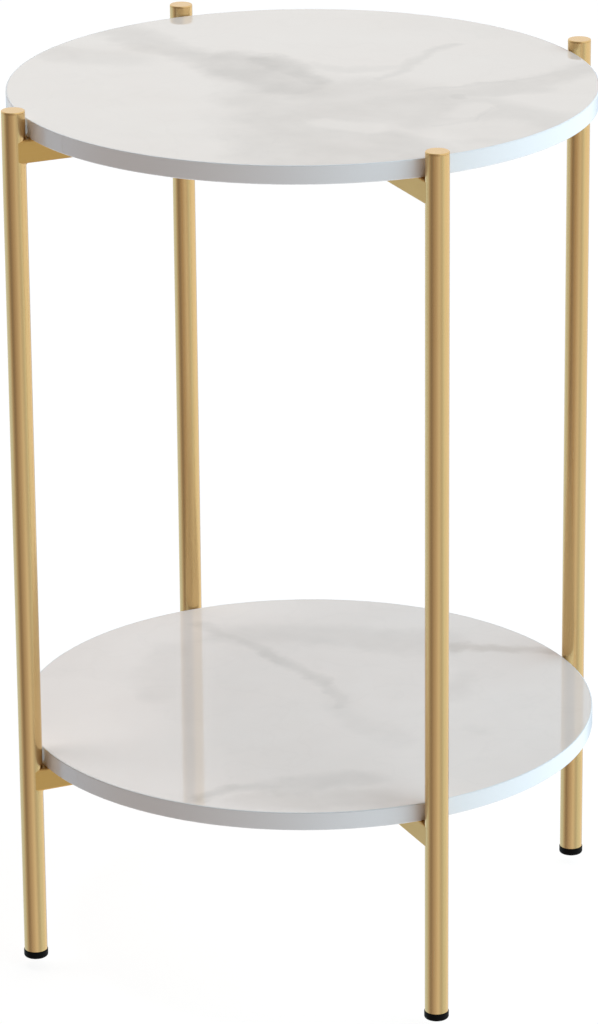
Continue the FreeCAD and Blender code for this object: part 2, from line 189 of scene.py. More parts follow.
class SideTableStudio(bpy.types.PropertyGroup):
    """Camera, floor and light."""

    camera_distance: length("Camera Distance", "Level distance from the table's axis", 3384.28)
    camera_height: length("Camera Height", "Height of the camera above the feet", 1524.66)
    camera_heading: angle("Camera Heading", "Bearing of the camera, left of the front leg", 24.186)
    camera_pitch: angle("Camera Pitch", "How far the camera looks down", 19.952)
    camera_yaw: angle("Camera Yaw", "How far the camera looks left of the table's axis", 0.084)
    camera_roll: angle("Camera Roll", "How far the camera leans over", -0.489)
    camera_reach: length("Camera Reach", "How far the camera sees", 100000)
    lens: amount("Lens", "Focal length on a 36 mm sensor", 182.41, unit="CAMERA")
    floor_size: length("Floor Size", "Side of the square floor", 30000)
    floor_drop: length(
        "Floor Drop", "Room under the table for its feet to be screwed out", FOOT_TRAVEL / MM)
    floor_glow: amount("Floor Glow", "Light that the floor gives by itself", 0.88)
    floor_white: colour("Floor White", "Paint of the studio floor", "7C7A78")
    dome_top: amount("Dome Top", "Brightness of the light dome overhead", 0.16)
    dome_side: amount("Dome Side", "Brightness of the light dome at eye level", 0.8)
    dome_low: amount("Dome Low", "Brightness of the light from below", 0.55)
    mirror_least: amount("Mirror Least", "Least light in a mirror reflection", 0.28)
    mirror_most: amount("Mirror Most", "Most light in a mirror reflection", 1.1)
    key_power: amount("Key Power", "Power of the overhead key light", 8.5, unit="POWER")
    key_size: length("Key Size", "Side of the square key light", 400)
    key_height: length("Key Height", "Height of the key light above the feet", 2600)
    key_shift: length("Key Shift", "How far left of the table's axis the key light hangs", 650)


def shape():
    return bpy.context.scene.side_table_shape


def colours():
    return bpy.context.scene.side_table_colours


def studio():
    return bpy.context.scene.side_table_studio


# Places read from the frame

def middle(node):
    """Centre of a node's box."""
    low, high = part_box(node)
    return (low + high) / 2


def radius(node):
    """Half of a round node's width."""
    low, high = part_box(node)
    return max(high.x - low.x, high.y - low.y) / 2


def level(node):
    """Lowest and highest point of a node."""
    low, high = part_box(node)
    return low.z, high.z


# Modelling by hand

def start_clean():
    """Leaves edit mode and deselects everything, so that the next tool acts on its own piece only."""
    if bpy.context.mode != "OBJECT":
        bpy.ops.object.mode_set(mode="OBJECT")
    bpy.ops.object.select_all(action="DESELECT")


def take(piece):
    """Makes one piece the only selected one and the active one."""
    start_clean()
    piece.select_set(True)
    bpy.context.view_layer.objects.active = piece


def settle():
    """Moves the new piece's place into its mesh."""
    bpy.ops.object.transform_apply(location=True, rotation=True, scale=True)
    return bpy.context.object


def add_round(flats, size, low, high, x=0.0, ends="NGON"):
    """A new upright round bar between two heights, on the table's axis or beside it."""
    start_clean()
    bpy.ops.mesh.primitive_cylinder_add(
        vertices=flats, radius=size, depth=high - low, end_fill_type=ends,
        location=(x, 0, (low + high) / 2))
    return settle()


def add_block(low, high):
    """A new block between two corners."""
    start_clean()
    bpy.ops.mesh.primitive_cube_add(size=1, location=(low + high) / 2, scale=high - low)
    return settle()


def add_outline(points):
    """A new line of edges through points: one corner of a plane, extruded from point to point."""
    start_clean()
    bpy.ops.mesh.primitive_plane_add(size=MM, location=points[0])
    piece = settle()
    with shaping(piece):
        bpy.ops.mesh.select_mode(type="VERT")
        bpy.ops.mesh.select_all(action="SELECT")
        bpy.ops.mesh.merge(type="CENTER")
        for here, there in zip(points, points[1:]):
            bpy.ops.mesh.extrude_region_move(TRANSFORM_OT_translate={"value": Vector(there) - Vector(here)})
    return piece


@contextmanager
def shaping(piece):
    """Edit mode on one piece, with nothing selected at first."""
    take(piece)
    bpy.ops.object.mode_set(mode="EDIT")
    bpy.ops.mesh.select_all(action="DESELECT")
    yield
    bpy.ops.object.mode_set(mode="OBJECT")


def select(piece, kind, test):
    """Selects the edges or faces of the piece in edit mode whose corners all pass a test of their place."""
    bpy.ops.mesh.select_all(action="DESELECT")
    bpy.ops.mesh.select_mode(type=kind)
    mesh = bmesh.from_edit_mesh(piece.data)
    for part in mesh.edges if kind == "EDGE" else mesh.faces:
        if all(test(corner.co) for corner in part.verts):
            part.select_set(True)
    bmesh.update_edit_mesh(piece.data)


def at_height(height):
    """A test for places at a height."""
    return lambda place: abs(place.z - height) < TINY


def round_edges(piece, test, size, flats):
    """Rounds the edges that pass a test."""
    with shaping(piece):
        select(piece, "EDGE", test)
        bpy.ops.mesh.bevel(offset=size, segments=flats, affect="EDGES")


def step_out(piece, height, margin, rise):
    """Insets the end face at a height by a margin and extrudes it by a rise."""
    with shaping(piece):
        select(piece, "FACE", at_height(height))
        bpy.ops.mesh.inset(thickness=margin)
        bpy.ops.mesh.extrude_region_move(TRANSFORM_OT_translate={"value": (0, 0, rise)})


def apply_modifier(piece, kind, **settings):
    """Adds a modifier with its settings and applies it."""
    take(piece)
    modifier = piece.modifiers.new(kind.lower(), kind)
    for name, setting in settings.items():
        setattr(modifier, name, setting)
    bpy.ops.object.modifier_apply(modifier=modifier.name)


def thicken(piece, wall):
    """Gives an open skin a wall on its inner side."""
    apply_modifier(piece, "SOLIDIFY", thickness=wall, offset=-1, use_even_offset=True)


def cut(piece, cutter):
    """Takes a cutter's shape out of a piece."""
    apply_modifier(piece, "BOOLEAN", operation="DIFFERENCE", solver="EXACT", object=cutter)
    bpy.data.objects.remove(cutter)


def heal(piece):
    """Merges doubled points and turns every face outwards."""
    with shaping(piece):
        bpy.ops.mesh.select_all(action="SELECT")
        bpy.ops.mesh.remove_doubles(threshold=MERGE)
        bpy.ops.mesh.normals_make_consistent(inside=False)


def copy_piece(piece, shift, turn=0.0):
    """A copy with its own mesh, turned about the table's axis and then shifted."""
    take(piece)
    bpy.ops.object.duplicate(linked=False)
    twin = bpy.context.object
    twin.rotation_euler.z = turn
    twin.location = shift
    return settle()


def at_each_leg(first, node):
    """Copies a piece from the table's axis to the like node of each leg, and takes the first one away."""
    for side in SIDES:
        place = middle(f"{node}_{side}")
        yield side, copy_piece(first, (place.x, place.y, 0))
    bpy.data.objects.remove(first)


def at_both_levels(first, turn):
    """Copies a piece of the upper crossing, turned about the table's axis, to both crossings."""
    drop = level("lower_rail_x")[0] - level("upper_rail_x")[0]
    for name, shift in zip(LEVELS, (0, drop)):
        yield name, copy_piece(first, (0, 0, shift), turn)


def dress(piece, name, material, body="frame", stands_for=()):
    """Names and finishes a piece, and says what it rides on and stands for."""
    take(piece)
    bpy.ops.object.shade_smooth_by_angle(angle=SMOOTH_ANGLE)
    apply_modifier(piece, "WEIGHTED_NORMAL", keep_sharp=True)
    piece.name = name
    piece.data.name = name
    piece.data.materials.clear()
    piece.data.materials.append(material)
    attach(piece, body)
    if stands_for:
        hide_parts(*stands_for)


# Materials

# Sockets of a Mix node: its share, then two colours and their mix, or two vectors and their mix
SHARE = 0
COLOUR_A, COLOUR_B, COLOUR_MIX = 6, 7, 2
VECTOR_A, VECTOR_B, VECTOR_MIX = 4, 5, 1


def add_node(tree, kind, inputs=None, **settings):
    """Adds a shader node and gives its outputs; an input is a value or the output that feeds it."""
    node = tree.nodes.new(f"ShaderNode{kind}")
    for name, setting in settings.items():
        setattr(node, name, setting)
    for name, source in (inputs or {}).items():
        if isinstance(source, bpy.types.NodeSocket):
            tree.links.new(source, node.inputs[name])
        else:
            node.inputs[name].default_value = source
    return node.outputs


def new_material(name):
    """An empty material and its Object coordinates."""
    material = bpy.data.materials.new(name)
    material.use_nodes = True
    tree = material.node_tree
    tree.nodes.clear()
    return material, tree, add_node(tree, "TexCoord")["Object"]


def surface(tree, inputs):
    """Ends a material in its shader."""
    shader = add_node(tree, "BsdfPrincipled", inputs)
    add_node(tree, "OutputMaterial", {"Surface": shader["BSDF"]})


def paint(name):
    """One of the colours as a shader takes it."""
    return (*getattr(colours(), name), 1.0)


def per_metre(millimetres):
    """How many spots of a pattern fit in a metre."""
    return 1 / (millimetres * MM)


# Share of the deeper gold and roughness: the round tubes are polished more than the square ones. The square
# rails' near-full share of deeper gold is painted shade, for the shade under the boards.
Polish = namedtuple("Polish", "depth rough")
POLISH_AND_RAIL_SHADE = {"round": Polish(0.40, 0.26), "square": Polish(0.98, 0.38)}
# How far the polishing lines and clouds shift that share and that roughness
POLISH_DRIFT = Polish(0.04, 0.02)


def satin_gold_steel(tube, grain):
    """Steel, polished along its grain and gold plated: a warm satin shine that stretches along the tube."""
    name = f"satin_gold_plated_steel_{tube}_{grain}"
    if name in bpy.data.materials:
        return bpy.data.materials[name]
    material, tree, place = new_material(name)
    # Real polishing lines lie about 0.1 mm apart; they are drawn 0.4 mm apart to show at all
    across, along, cloud = per_metre(0.4), per_metre(120), per_metre(45)
    stretch = [along if axis == grain else across for axis in "xyz"]
    drawn = add_node(tree, "VectorMath", {0: place, 1: stretch}, operation="MULTIPLY")[0]
    lines = add_node(tree, "TexNoise", {"Vector": drawn, "Scale": 1.0, "Detail": 2.0})["Fac"]
    clouds = add_node(tree, "TexNoise", {"Vector": place, "Scale": cloud, "Detail": 2.0})["Fac"]
    both = add_node(tree, "Math", {0: lines, 1: clouds}, operation="ADD")[0]
    depth, rough = (add_node(tree, "MapRange", {
        "Value": both, "From Min": 0.6, "From Max": 1.4,
        "To Min": usual - drift, "To Max": usual + drift})["Result"]
        for usual, drift in zip(POLISH_AND_RAIL_SHADE[tube], POLISH_DRIFT))
    # On the square rails this mix is almost all deeper gold: painted shade
    tone = add_node(tree, "Mix", {
        SHARE: depth, COLOUR_A: paint("gold"), COLOUR_B: paint("gold_deep_and_rail_shade")}, data_type="RGBA")[COLOUR_MIX]
    relief = add_node(tree, "Bump", {"Height": lines, "Strength": 0.05, "Distance": 0.01 * MM})["Normal"]
    surface(tree, {"Base Color": tone, "Metallic": 1.0, "Roughness": rough, "Normal": relief})
    return material


def gloss_white_strip():
    """Extruded ABS edge strip, trimmed with a cutter: glossy white with faint upright chatter marks."""
    material, tree, place = new_material("gloss_white_abs_edge_strip")
    # Cutter marks on a trimmed strip lie about 1.5 mm apart
    across, along = per_metre(1.5), per_metre(60)
    drawn = add_node(tree, "VectorMath", {0: place, 1: (across, across, along)}, operation="MULTIPLY")[0]
    marks = add_node(tree, "TexNoise", {"Vector": drawn, "Scale": 1.0, "Detail": 1.0})["Fac"]
    rough = add_node(tree, "MapRange", {"Value": marks, "To Min": 0.16, "To Max": 0.26})["Result"]
    relief = add_node(tree, "Bump", {"Height": marks, "Strength": 0.1, "Distance": 0.01 * MM})["Normal"]
    surface(tree, {"Base Color": paint("strip"), "Roughness": rough, "IOR": 1.54, "Normal": relief})
    return material


def moulded_nylon():
    """Nylon moulded in a spark-eroded tool: black with a fine even grain and faintly scuffed spots."""
    material, tree, place = new_material("moulded_black_nylon")
    # The grain of such a tool is about 0.3 mm, and the scuffs are some 3 mm wide
    grain = add_node(tree, "TexNoise", {"Vector": place, "Scale": per_metre(0.3), "Detail": 2.0})["Fac"]
    scuff = add_node(tree, "TexNoise", {"Vector": place, "Scale": per_metre(3), "Detail": 3.0})["Fac"]
    worn = add_node(tree, "MapRange", {
        "Value": scuff, "From Min": 0.5, "From Max": 0.75, "To Min": 0.0, "To Max": 0.6})["Result"]
    tone = add_node(tree, "Mix", {
        SHARE: worn, COLOUR_A: paint("nylon"), COLOUR_B: paint("nylon_worn")}, data_type="RGBA")[COLOUR_MIX]
    rough = add_node(tree, "MapRange", {"Value": grain, "To Min": 0.45, "To Max": 0.62})["Result"]
    relief = add_node(tree, "Bump", {"Height": grain, "Strength": 0.35, "Distance": 0.03 * MM})["Normal"]
    surface(tree, {"Base Color": tone, "Roughness": rough, "IOR": 1.53, "Specular IOR Level": 0.08,
                   "Normal": relief})
    return material


def zinc_plated_steel():
    """Steel with bright zinc plating: pale grey metal with a faint cloudy, yellowish bloom."""
    name = "zinc_plated_steel"
    if name in bpy.data.materials:
        return bpy.data.materials[name]
    material, tree, place = new_material(name)
    # The bloom of the passivation comes in patches about 4 mm wide, over a grain of about 0.4 mm
    bloom = add_node(tree, "TexNoise", {"Vector": place, "Scale": per_metre(4), "Detail": 3.0})["Fac"]
    grain = add_node(tree, "TexNoise", {"Vector": place, "Scale": per_metre(0.4), "Detail": 1.0})["Fac"]
    tone = add_node(tree, "Mix", {
        SHARE: bloom, COLOUR_A: paint("zinc"), COLOUR_B: paint("zinc_warm")}, data_type="RGBA")[COLOUR_MIX]
    rough = add_node(tree, "MapRange", {"Value": grain, "To Min": 0.25, "To Max": 0.45})["Result"]
    surface(tree, {"Base Color": tone, "Metallic": 1.0, "Roughness": rough})
    return material


def melamine_backing():
    """Melamine paper pressed on the underside: matt off-white with a fine tangle of paper fibres."""
    material, tree, place = new_material("matt_melamine_backing_sheet")
    # Paper fibres are about 0.1 mm wide and 2 mm long; they are drawn 1.2 mm wide to show
    fibre = add_node(tree, "TexNoise", {
        "Vector": place, "Scale": per_metre(1.2), "Detail": 3.0, "Distortion": 1.5})["Fac"]
    mottle = add_node(tree, "MapRange", {
        "Value": fibre, "From Min": 0.45, "From Max": 0.8, "To Min": 0.0, "To Max": 0.8})["Result"]
    tone = add_node(tree, "Mix", {
        SHARE: mottle, COLOUR_A: paint("backing"), COLOUR_B: paint("backing_fibre")},
        data_type="RGBA")[COLOUR_MIX]
    rough = add_node(tree, "MapRange", {"Value": fibre, "To Min": 0.5, "To Max": 0.65})["Result"]
    surface(tree, {"Base Color": tone, "Roughness": rough, "IOR": 1.5})
    return material


def pressed_fibreboard():
    """Medium-density fibreboard: brown pressed wood fibres with darker coarse flecks."""
    material, tree, place = new_material("pressed_fibreboard")
    # Coarse flecks are about 1 mm long
    fleck = add_node(tree, "TexNoise", {"Vector": place, "Scale": per_metre(1), "Detail": 4.0})["Fac"]
    spots = add_node(tree, "MapRange", {"Value": fleck, "From Min": 0.5, "From Max": 0.8})["Result"]
    tone = add_node(tree, "Mix", {
        SHARE: spots, COLOUR_A: paint("fibreboard"), COLOUR_B: paint("fibreboard_fleck")},
        data_type="RGBA")[COLOUR_MIX]
    rough = add_node(tree, "MapRange", {"Value": fleck, "To Min": 0.75, "To Max": 0.95})["Result"]
    surface(tree, {"Base Color": tone, "Roughness": rough})
    return material


# The marble print, in millimetres: where on an endless print each board was cut,
# over what length and how far the veins wander and feather, and how wide its patches and clouds are
PRINT_LOTS = {"top": (310, 120, 0), "shelf": (-270, 540, 0)}
WANDER_LENGTH, WANDER_REACH = 60, 34
FEATHER_LENGTH, FEATHER_REACH = 12, 2.5
THIN_PATCH, RIDGE_CLOUD, GROUND_CLOUD = 30, 70, 90
# How softly two veins run into each other
VEIN_MERGE = 0.06

# A vein runs along a route of plan points in millimetres, full inside its core and gone at its width
Vein = namedtuple("Vein", "route core width strength")

GREY_VEINS_AND_SHADOW = {
    "top": (
        Vein(((-62, 205), (-56, 160), (-44, 110), (-36, 85)), 6, 30, 0.31),
        Vein(((-40, 104), (-30, 78)), 5, 24, 0.38),
        Vein(((-28, 76), (-18, 42)), 12, 34, 0.44),
        Vein(((-17, 44), (-10, 0)), 18, 46, 0.46),
        Vein(((-14, 20), (-10, -20)), 12, 58, 0.36),
        Vein(((-4, 64), (6, 34), (8, 4)), 3, 25, 0.57),
        Vein(((-116, 142), (-86, 108)), 6, 36, 0.20),
        Vein(((18, 42), (40, 22), (76, 12)), 2, 14, 0.17),
        Vein(((50, -12), (76, 6), (98, 24), (134, 46)), 0.5, 10, 0.26),
        Vein(((30, -62), (90, -66), (140, -66), (195, -50)), 6, 26, 0.27),
        Vein(((45, -47), (100, -52), (150, -54), (195, -42)), 1, 7, 0.28),
        Vein(((100, -72), (130, -84)), 6, 24, 0.27),
        Vein(((-16, -30), (-42, -95), (-60, -160), (-45, -210)), 30, 80, 0.27),
        Vein(((20, -50), (60, -110), (85, -170)), 30, 72, 0.25),
        Vein(((-10, -150), (0, -205)), 10, 40, 0.30),
        Vein(((36, -132), (62, -135), (82, -114)), 1, 8, 0.34),
        Vein(((80, -78), (84, -70)), 2, 12, 0.36),
        Vein(((140, 115), (178, 55)), 8, 45, 0.08),
    ),
    "shelf": (
        Vein(((-8, 165), (2, 125), (8, 90), (15, 58), (23, 26)), 1, 13, 0.28),
        Vein(((23, 26), (24, 4), (22, -18)), 0.5, 11, 0.22),
        Vein(((22, 0), (19, -45), (24, -92)), 1, 26, 0.13),
        Vein(((5, 138), (50, 116), (88, 90), (130, 60)), 10, 38, 0.20),
        Vein(((-45, 135), (-78, 90), (-92, 58)), 2, 28, 0.12),
        Vein(((-135, -130), (-105, -124), (-84, -134)), 1, 11, 0.28),
        Vein(((-84, -134), (-55, -140), (-20, -144)), 2, 24, 0.22),
        Vein(((92, -36), (122, -8)), 2, 22, 0.16),
        Vein(((85, -92), (88, -104)), 2, 16, 0.10),
        # A broad faint grey veil over the shelf's middle and right: painted shadow of the top board
        Vein(((70, 150), (60, -20), (90, -160)), 60, 170, 0.05),
    ),
}
BROWN_VEINS_AND_WARM_LIGHT = {
    "top": (
        Vein(((-110, 150), (-62, 128)), 4, 34, 0.09),
        Vein(((150, -62), (192, -48)), 3, 16, 0.06),
        Vein(((20, -60), (-40, -110), (-70, -190)), 30, 80, 0.05),
        Vein(((-140, 60), (-120, -60), (-20, -170), (90, -150)), 60, 150, 0.03),
    ),
    "shelf": (
        Vein(((138, 47), (168, 27), (198, 8)), 2, 12, 0.24),
        Vein(((-105, -150), (-70, -165), (-30, -180)), 5, 24, 0.15),
        # A broad faint warm tint at the shelf's left: painted warm light on its lit side
        Vein(((-130, 130), (-165, 20), (-140, -110)), 20, 95, 0.03),
    ),
}
PALE_PATCHES_AND_LIGHT = {
    "top": (
        Vein(((-28, -100), (-8, -120)), 6, 20, 0.20),
        Vein(((46, -152), (70, -166)), 14, 36, 0.18),
        Vein(((62, -118), (76, -108)), 6, 18, 0.16),
        Vein(((120, -105), (135, -130)), 8, 30, 0.14),
    ),
    "shelf": (
        # A broad paler band at the shelf's left: painted light, where the key light reaches past the top
        # board
        Vein(((-160, 60), (-150, -60)), 30, 70, 0.10),
    ),
}


def vein_depth(tree, place, fray, vein):
    """How deep each point lies inside a vein, from 0 at its frayed edge to its strength in its core."""
    nearest = None
    for start, end in zip(vein.route, vein.route[1:]):
        run = Vector(end) - Vector(start)
        away = add_node(tree, "VectorMath", {0: place, 1: (*start, 0)}, operation="SUBTRACT")[0]
        share = add_node(tree, "VectorMath", {
            0: away, 1: (*(run / run.length_squared), 0)}, operation="DOT_PRODUCT")["Value"]
        held = add_node(tree, "Clamp", {"Value": share})["Result"]
        along = add_node(tree, "VectorMath", {0: (*run, 0), "Scale": held}, operation="SCALE")[0]
        gap = add_node(tree, "VectorMath", {0: away, 1: along}, operation="DISTANCE")["Value"]
        if nearest is not None:
            gap = add_node(tree, "Math", {0: nearest, 1: gap}, operation="MINIMUM")[0]
        nearest = gap
    frayed = add_node(tree, "Math", {0: nearest, 1: fray}, operation="ADD")[0]
    return add_node(tree, "MapRange", {
        "Value": frayed, "From Min": vein.core, "From Max": vein.width,
        "To Min": vein.strength, "To Max": 0.0}, interpolation_type="SMOOTHSTEP")["Result"]


def all_veins(tree, place, fray, veins, breakup):
    """The depth of a set of veins, thinned here and there by a breakup."""
    total = None
    for vein in veins:
        depth = vein_depth(tree, place, fray, vein)
        if total is not None:
            depth = add_node(tree, "Math", {0: total, 1: depth, 2: VEIN_MERGE}, operation="SMOOTH_MAX")[0]
        total = depth
    return add_node(tree, "Math", {0: total, 1: breakup}, operation="MULTIPLY", use_clamp=True)[0]


def marble_laminate(board):
    """Laminate with a marble print under a mirror-gloss overlay: soft grey veins and clear reflections."""
    material, tree, place = new_material(f"gloss_marble_laminate_{board}")
    plan = add_node(tree, "VectorMath", {0: place, 1: (1 / MM, 1 / MM, 0)}, operation="MULTIPLY")[0]
    printed = add_node(tree, "VectorMath", {0: plan, 1: PRINT_LOTS[board]}, operation="ADD")[0]
    # The veins wander off their routes
    wander = add_node(tree, "TexNoise", {
        "Vector": printed, "Scale": 1 / WANDER_LENGTH, "Detail": 4.0, "Roughness": 0.5})["Color"]
    drift = add_node(tree, "VectorMath", {0: wander, 1: (0.5, 0.5, 0.5)}, operation="SUBTRACT")[0]
    bent = add_node(tree, "VectorMath", {
        0: drift, 1: (WANDER_REACH, WANDER_REACH, 0), 2: plan}, operation="MULTIPLY_ADD")[0]
    # They thin out in patches
    patches = add_node(tree, "TexNoise", {
        "Vector": printed, "Scale": 1 / THIN_PATCH, "Detail": 2.5, "Roughness": 0.5})["Fac"]
    breakup = add_node(tree, "MapRange", {
        "Value": patches, "From Min": 0.3, "From Max": 0.7, "To Min": 0.74, "To Max": 1.16})["Result"]
    # Their edges feather
    feather = add_node(tree, "TexNoise", {
        "Vector": printed, "Scale": 1 / FEATHER_LENGTH, "Detail": 4.0, "Roughness": 0.55})["Fac"]
    fray = add_node(tree, "MapRange", {
        "Value": feather, "From Min": 0.25, "From Max": 0.75,
        "To Min": -FEATHER_REACH, "To Max": FEATHER_REACH})["Result"]
    # Faint hairlines about 1 mm wide follow the ridges of a cloud
    ridge = add_node(tree, "TexNoise", {
        "Vector": bent, "Scale": 1 / RIDGE_CLOUD, "Detail": 3.0, "Roughness": 0.5})["Fac"]
    off_ridge = add_node(tree, "Math", {0: ridge, 1: 0.5}, operation="SUBTRACT")[0]
    ridge_gap = add_node(tree, "Math", {0: off_ridge}, operation="ABSOLUTE")[0]
    hairline = add_node(tree, "MapRange", {
        "Value": ridge_gap, "From Min": 0.0, "From Max": 0.02, "To Min": 0.02, "To Max": 0.0},
        interpolation_type="SMOOTHSTEP")["Result"]
    # Grey veins, and on the shelf a painted shadow of the top board
    grey = all_veins(tree, bent, fray, GREY_VEINS_AND_SHADOW[board], breakup)
    grey = add_node(tree, "Math", {0: grey, 1: hairline}, operation="ADD")[0]
    # Rusty veins, and on the shelf a painted warm light at its left
    brown = all_veins(tree, bent, fray, BROWN_VEINS_AND_WARM_LIGHT[board], breakup)
    # Pale patches of the print, and on the shelf a painted light at its left
    pale = all_veins(tree, bent, fray, PALE_PATCHES_AND_LIGHT[board], breakup)
    grey = add_node(tree, "Math", {0: grey, 1: pale}, operation="SUBTRACT", use_clamp=True)[0]
    # The ground drifts in slow clouds, and the veins lie over it
    clouds = add_node(tree, "TexNoise", {
        "Vector": printed, "Scale": 1 / GROUND_CLOUD, "Detail": 5.0, "Roughness": 0.55})["Fac"]
    # Each board has its own ground and drift; the shelf's lighter ones are painted light
    tone = paint(f"{board}_ground")
    for share, name in ((clouds, f"{board}_drift"), (grey, "vein"), (brown, "vein_brown")):
        tone = add_node(tree, "Mix", {
            SHARE: share, COLOUR_A: tone, COLOUR_B: paint(name)}, data_type="RGBA")[COLOUR_MIX]
    rough = add_node(tree, "MapRange", {"Value": patches, "To Min": 0.03, "To Max": 0.07})["Result"]
    surface(tree, {"Base Color": tone, "Roughness": rough, "IOR": 1.5})
    return material


# Pieces

class SIDETABLE_OT_marble_sheets(bpy.types.Operator):
    """Make the glossy marble sheet on each board, with a broken edge against the strip"""

    bl_idname = "side_table.marble_sheets"
    bl_label = "Marble Sheets"

    def execute(self, context):
        for board in BOARDS:
            node = f"{board}_marble_face"
            low, high = level(node)
            sheet = add_round(shape().board_steps, radius(node), low, high)
            round_edges(sheet, at_height(high), shape().sheet_arris, shape().arris_steps)
            dress(sheet, f"{board}_marble_sheet", marble_laminate(board),
                  stands_for=(node,))
        return {"FINISHED"}


class SIDETABLE_OT_edge_strips(bpy.types.Operator):
    """Make the white strip round each board, with rounded arrises and the joint where its ends meet"""

    bl_idname = "side_table.edge_strips"
    bl_label = "Edge Strips"

    def execute(self, context):
        finish = gloss_white_strip()
        for board in BOARDS:
            node = f"{board}_edge_band"
            low, high = level(node)
            outer = radius(node)
            inner = radius(f"{board}_marble_face")
            strip = add_round(shape().board_steps, outer, low, high, ends="NOTHING")
            self.open_joint(strip, outer)
            thicken(strip, outer - inner)
            rim = (outer + inner) / 2
            for height in (low, high):
                round_edges(strip, lambda place: at_height(height)(place) and place.xy.length > rim,
                            shape().strip_round, shape().edge_steps)
            dress(strip, f"{board}_edge_strip", finish, stands_for=(node,))
        return {"FINISHED"}

    def open_joint(self, strip, outer):
        """Sinks a fine groove where the two ends of the strip butt together, beside the left leg."""
        flats = shape().board_steps
        joint_angle = math.tau * round(flats * shape().strip_place) / flats
        joint = Vector((math.sin(joint_angle), -math.cos(joint_angle), 0)) * -outer

        def at_joint(place):
            return (place.xy - joint.xy).length < TINY

        with shaping(strip):
            select(strip, "EDGE", at_joint)
            bpy.ops.mesh.bevel(offset=shape().strip_joint, segments=GROOVE, affect="EDGES")
            select(strip, "EDGE", at_joint)
            bpy.ops.transform.translate(value=-joint.normalized() * shape().strip_joint)


class SIDETABLE_OT_legs(bpy.types.Operator):
    """Make the four round leg tubes"""

    bl_idname = "side_table.legs"
    bl_label = "Legs"

    def execute(self, context):
        low, high = level("leg_front")
        first = add_round(shape().tube_steps, radius("leg_front"), low, high, ends="NOTHING")
        thicken(first, shape().tube_wall)
        for height in (low, high):
            round_edges(first, at_height(height), shape().tube_arris, shape().arris_steps)
        for side, tube in at_each_leg(first, "leg"):
            dress(tube, f"{side}_leg_tube", satin_gold_steel("round", "z"),
                  stands_for=(f"leg_{side}",))
        return {"FINISHED"}


class SIDETABLE_OT_leg_caps(bpy.types.Operator):
    """Make the four caps that close the legs: a rounded head on a spigot"""

    bl_idname = "side_table.leg_caps"
    bl_label = "Leg Caps"

    def execute(self, context):
        low, high = level("leg_cap_front")
        seat = high - shape().cap_head
        first = add_round(shape().tube_steps, radius("leg_cap_front"), seat, high)
        round_edges(first, at_height(high), shape().cap_round, shape().edge_steps)
        round_edges(first, at_height(seat), shape().cap_seam, CHAMFER)
        step_out(first, seat, shape().tube_wall, low - seat)
        for side, cap in at_each_leg(first, "leg_cap"):
            dress(cap, f"{side}_leg_cap", satin_gold_steel("round", "x"),
                  stands_for=(f"leg_cap_{side}",))
        return {"FINISHED"}


class SIDETABLE_OT_rails(bpy.types.Operator):
    """Make the square rails: half-lapped at the middle, saddle-cut at the legs and drilled from below"""

    bl_idname = "side_table.rails"
    bl_label = "Rails"

    def execute(self, context):
        for grain, turn in (("x", 0), ("y", QUARTER_TURN)):
            first = self.one_rail(f"upper_rail_{grain}", lapped_above=grain == "x")
            for name, rail in at_both_levels(first, turn):
                dress(rail, f"{name}_{grain}_rail", satin_gold_steel("square", grain),
                      stands_for=(f"{name}_rail_{grain}",))
            bpy.data.objects.remove(first)
        return {"FINISHED"}

    def one_rail(self, node, lapped_above):
        """One upper rail, laid along X."""
        low, high = level(node)
        half_width = (high - low) / 2
        half_length = middle("leg_right").x
        ends = (-half_length, half_length)
        rail = add_block(Vector((-half_length, -half_width, low)), Vector((half_length, half_width, high)))
        with shaping(rail):
            self.select_long_edges(rail)
            bpy.ops.mesh.bevel(offset=shape().rail_corner, segments=shape().edge_steps, affect="EDGES")
            for end in ends:
                select(rail, "FACE", lambda place: abs(place.x - end) < TINY)
                bpy.ops.mesh.delete(type="ONLY_FACE")
        thicken(rail, shape().tube_wall)
        # The cutters reach past the rail
        under, over = low - half_width, high + half_width
        for end in ends:
            self.drill(rail, 2 * radius("leg_front"), under, over, end)
        lap = half_width + shape().lap_gap
        lap_middle = (low + high) / 2
        lap_from, lap_to = (lap_middle, over) if lapped_above else (under, lap_middle)
        cut(rail, add_block(Vector((-lap, -lap, lap_from)), Vector((lap, lap, lap_to))))
        self.drill(rail, shape().bolt_hole, under, over)
        screw_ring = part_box("top_board_screws")[1].x - shape().screw_head / 2
        for screw in (-screw_ring, screw_ring):
            self.drill(rail, shape().driver_hole, under, lap_middle, screw)
            self.drill(rail, shape().screw_clearance, lap_middle, over, screw)
        return rail

    def select_long_edges(self, rail):
        """Selects the edges along X."""
        bpy.ops.mesh.select_mode(type="EDGE")
        mesh = bmesh.from_edit_mesh(rail.data)
        for edge in mesh.edges:
            start, end = edge.verts
            edge.select_set(abs(start.co.x - end.co.x) > TINY)
        bmesh.update_edit_mesh(rail.data)

    def drill(self, rail, diameter, low, high, x=0.0):
        """Takes an upright round hole out of a rail."""
        cut(rail, add_round(shape().tube_steps, diameter / 2, low, high, x))


